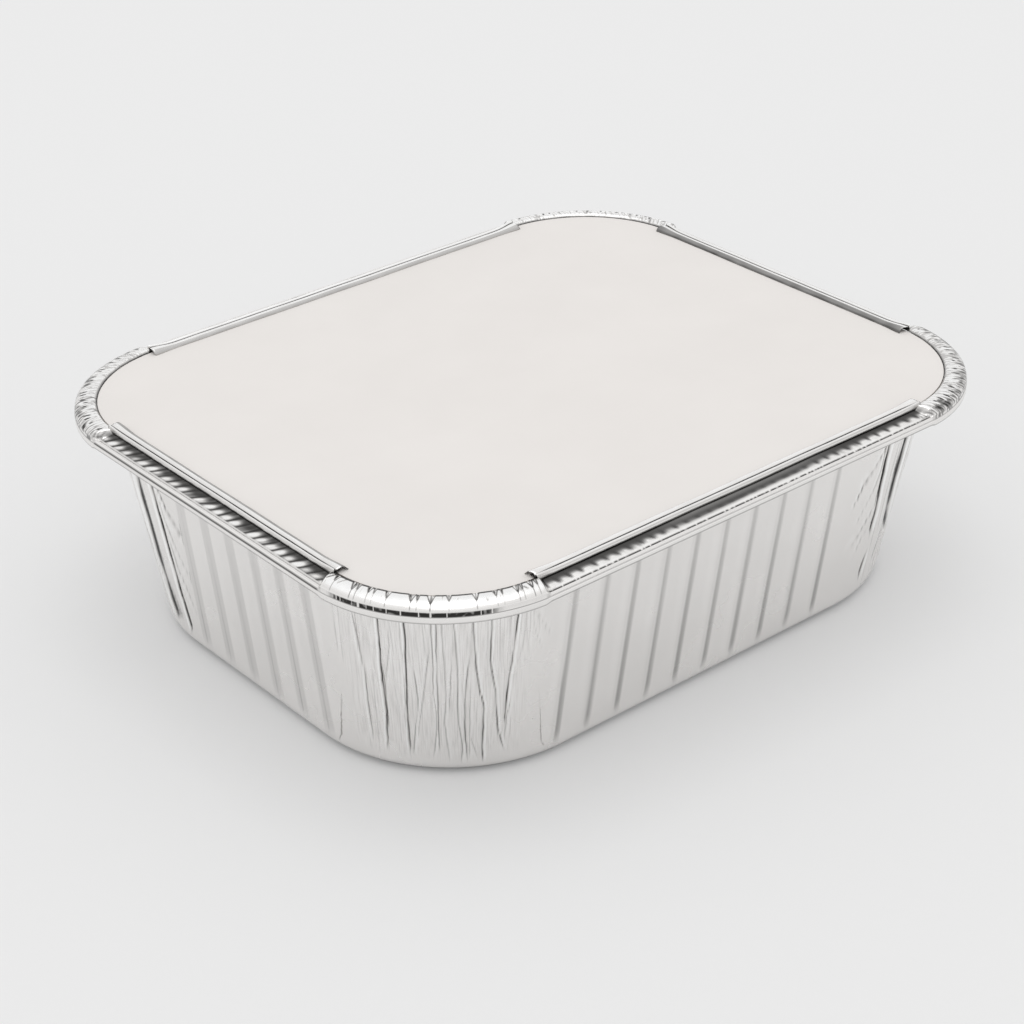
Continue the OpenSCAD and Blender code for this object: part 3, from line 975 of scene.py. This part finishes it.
def set_inputs(node, **values):
    """Set the inputs of a node to fixed values. A name's spaces are written as underscores."""
    for name, value in values.items():
        node.inputs[name.replace("_", " ")].default_value = value


def add_noise(tree, coordinates, scale, detail, stretch=(1, 1, 1)):
    mapping = tree.nodes.new("ShaderNodeMapping")
    set_inputs(mapping, Scale=stretch)
    texture = tree.nodes.new("ShaderNodeTexNoise")
    set_inputs(texture, Scale=scale, Detail=detail)
    tree.links.new(coordinates, mapping.inputs["Vector"])
    tree.links.new(mapping.outputs["Vector"], texture.inputs["Vector"])
    return texture.outputs["Fac"]


def add_range(tree, value, low, high, from_low=0, from_high=1):
    node = tree.nodes.new("ShaderNodeMapRange")
    set_inputs(node, From_Min=from_low, From_Max=from_high, To_Min=low, To_Max=high)
    tree.links.new(value, node.inputs["Value"])
    return node.outputs["Result"]


def add_math(tree, operation, a, b):
    node = tree.nodes.new("ShaderNodeMath")
    node.operation = operation
    tree.links.new(a, node.inputs[0])
    tree.links.new(b, node.inputs[1])
    return node.outputs["Value"]


def add_mix(tree, factor, a, b):
    """Mix two colours, each a socket or a colour, by a factor."""
    node = tree.nodes.new("ShaderNodeMix")
    node.data_type = "RGBA"
    tree.links.new(factor, node.inputs["Factor"])
    for name, colour in (("A", a), ("B", b)):
        if isinstance(colour, tuple):
            node.inputs[name].default_value = (*colour, 1)
        else:
            tree.links.new(colour, node.inputs[name])
    return node.outputs["Result"]


def add_bump(tree, height, strength, distance, before=None):
    node = tree.nodes.new("ShaderNodeBump")
    set_inputs(node, Strength=strength, Distance=distance)
    tree.links.new(height, node.inputs["Height"])
    if before is not None:
        tree.links.new(before, node.inputs["Normal"])
    return node.outputs["Normal"]


def add_attribute(tree, name):
    node = tree.nodes.new("ShaderNodeAttribute")
    node.attribute_name = name
    return node.outputs["Fac"]


def make_foil():
    material, tree, shader = new_material("foil")
    set_inputs(shader, Metallic=1)
    coordinates = tree.nodes.new("ShaderNodeTexCoord")
    clouds = add_noise(tree, coordinates.outputs["Object"], 70, 3)
    streaks = add_noise(tree, coordinates.outputs["UV"], 1, 3, (520, 9, 1))
    crush = add_attribute(tree, "crush")
    fold = add_attribute(tree, "fold")
    tone = add_mix(tree, clouds, *FOIL_TONES)
    # Painted shade and painted highlight of the fine streaks where the foil is wrinkled
    streak_shade_share = add_math(tree, "MULTIPLY", add_range(tree, streaks, 0.25, 0, 0.3, 0.5), crush)
    tone = add_mix(tree, streak_shade_share, tone, STREAK_SHADE)
    streak_highlight_share = add_math(tree, "MULTIPLY", add_range(tree, streaks, 0, 0.5, 0.5, 0.7), crush)
    tone = add_mix(tree, streak_highlight_share, tone, STREAK_HIGHLIGHT)
    # Painted highlight on ridges and painted shade in creases, bands and lines, as the fold attribute gives them
    tone = add_mix(tree, add_range(tree, fold, 0, 1, 0, GLINT), tone, RIDGE_HIGHLIGHT)
    tone = add_mix(tree, add_range(tree, fold, 0, 0.98, 0.02, 0.95), tone, CREASE_SHADE)
    tree.links.new(tone, shader.inputs["Base Color"])
    tree.links.new(add_range(tree, clouds, 0.2, 0.3, 0.3, 0.7), shader.inputs["Roughness"])
    normal = add_bump(tree, clouds, 0.15, 0.4 * MM)
    normal = add_bump(tree, add_math(tree, "MULTIPLY", streaks, crush), 0.3, 0.1 * MM, normal)
    tree.links.new(normal, shader.inputs["Normal"])
    return material


def make_board():
    material, tree, shader = new_material("board")
    place = tree.nodes.new("ShaderNodeTexCoord").outputs["Object"]
    fibres = add_noise(tree, place, 700, 5)
    clouds = add_noise(tree, place, 60, 3)
    facing = tree.nodes.new("ShaderNodeSeparateXYZ")
    tree.links.new(tree.nodes.new("ShaderNodeNewGeometry").outputs["Normal"], facing.inputs["Vector"])
    tone = add_mix(tree, clouds, *BOARD_TONES)
    # Every face that doesn't face up, the cut edge and the underside, gets the edge's brown darkened with painted
    # shade
    tone = add_mix(tree, add_range(tree, facing.outputs["Z"], 0, 1, 0.2, 0.8), BOARD_EDGE_AND_SHADE, tone)
    tree.links.new(tone, shader.inputs["Base Color"])
    tree.links.new(add_range(tree, fibres, 0.75, 0.9), shader.inputs["Roughness"])
    set_inputs(shader, Specular_IOR_Level=0.2)
    tree.links.new(add_bump(tree, fibres, 0.25, 0.05 * MM), shader.inputs["Normal"])
    return material


# Studio

# The photo's view: its size and focal length in pixels, the pixel of the middle of the base, and the distance
# of the base
PHOTO_PX = 1024
FOCAL_PX = 2425
BASE_PX = (526.3, 572.7)
BASE_DISTANCE = 474.5 * MM
VIEW_AZIMUTH = math.radians(-39.4)
VIEW_ELEVATION = math.radians(29.45)
VIEW_ROLL = math.radians(-1.3)
SENSOR_WIDTH = 36

PALE = (0.83, 0.83, 0.83, 1)
FLOOR_GLOW = 0.2
FLOOR_SIZE = 4
SOFTBOX_SIZE = 1.4
SOFTBOX_PLACE = Vector((0, 0.05, 2))
SOFTBOX_WATTS = 5.5

# The room: how light it is at heights above the horizon, given as the sine of the angle
ROOM = ((0, 1), (0.14, 1), (0.3, 0.83), (0.62, 0.85), (0.8, 0.92), (1, 0.94))


def make_camera():
    """The photo's view: the middle of the base lies at BASE_PX, BASE_DISTANCE along the view axis."""
    back = Vector((
        math.sin(VIEW_AZIMUTH) * math.cos(VIEW_ELEVATION),
        -math.cos(VIEW_AZIMUTH) * math.cos(VIEW_ELEVATION),
        math.sin(VIEW_ELEVATION),
    ))
    level = (-back).cross(Vector((0, 0, 1))).normalized()
    rise = level.cross(-back)
    right = level * math.cos(VIEW_ROLL) + rise * math.sin(VIEW_ROLL)
    up = rise * math.cos(VIEW_ROLL) - level * math.sin(VIEW_ROLL)
    across = (BASE_PX[0] - PHOTO_PX / 2) / FOCAL_PX * BASE_DISTANCE
    down = (BASE_PX[1] - PHOTO_PX / 2) / FOCAL_PX * BASE_DISTANCE
    place = back * BASE_DISTANCE - right * across + up * down
    data = bpy.data.cameras.new("camera")
    data.sensor_width = SENSOR_WIDTH
    data.lens = FOCAL_PX / PHOTO_PX * SENSOR_WIDTH
    camera = add_object("camera", data)
    camera.matrix_world = Matrix.Translation(place) @ Matrix((right, up, back)).transposed().to_4x4()
    bpy.context.scene.camera = camera


def make_floor():
    bpy.ops.mesh.primitive_plane_add(size=FLOOR_SIZE, location=(0, 0, 0))
    floor = bpy.context.object
    floor.name = "floor"
    material, tree, shader = new_material("pale_floor")
    set_inputs(shader, Base_Color=PALE, Roughness=0.9, Specular_IOR_Level=0)
    glow = tree.nodes.new("ShaderNodeEmission")
    set_inputs(glow, Color=PALE)
    rays = tree.nodes.new("ShaderNodeLightPath").outputs
    shown = add_math(tree, "MAXIMUM", rays["Is Camera Ray"], rays["Is Glossy Ray"])
    blend = tree.nodes.new("ShaderNodeMixShader")
    tree.links.new(add_range(tree, shown, 0, FLOOR_GLOW), blend.inputs["Fac"])
    tree.links.new(shader.outputs["BSDF"], blend.inputs[1])
    tree.links.new(glow.outputs["Emission"], blend.inputs[2])
    tree.links.new(blend.outputs["Shader"], tree.nodes["Material Output"].inputs["Surface"])
    floor.data.materials.append(material)


def make_world():
    world = bpy.data.worlds.new("studio")
    bpy.context.scene.world = world
    world.use_nodes = True
    tree = world.node_tree
    background = tree.nodes["Background"]
    direction = tree.nodes.new("ShaderNodeTexCoord").outputs["Generated"]
    parts = tree.nodes.new("ShaderNodeSeparateXYZ")
    tree.links.new(direction, parts.inputs["Vector"])
    ramp = tree.nodes.new("ShaderNodeValToRGB")
    stops = ramp.color_ramp.elements
    inner = [stops.new(height) for height, light in ROOM[1:-1]]
    for (height, light), stop in zip(ROOM, [stops[0], *inner, stops[-1]]):
        stop.color = (light, light, light, 1)
    tree.links.new(parts.outputs["Z"], ramp.inputs["Fac"])
    seen = tree.nodes.new("ShaderNodeLightPath").outputs["Is Camera Ray"]
    tree.links.new(add_mix(tree, seen, ramp.outputs["Color"], PALE[:3]), background.inputs["Color"])
    set_inputs(background, Strength=1)


def make_softbox():
    data = bpy.data.lights.new("softbox", "AREA")
    data.size = SOFTBOX_SIZE
    data.energy = SOFTBOX_WATTS
    lamp = add_object("softbox", data)
    aim = -SOFTBOX_PLACE
    lamp.matrix_world = Matrix.Translation(SOFTBOX_PLACE) @ aim.to_track_quat("-Z", "Y").to_matrix().to_4x4()


make_camera()
make_world()
make_softbox()
make_floor()

foil = make_foil()
board = make_board()
for piece in [make_tray_body(), make_rim()] + [make_hem(side) for side in range(4)]:
    piece.data.materials.append(foil)
    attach(piece, "root")
    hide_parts("foil_tray")
lid = make_lid()
lid.data.materials.append(board)
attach(lid, "root")
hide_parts("board_lid")

bpy.context.scene.view_settings.view_transform = "Standard"
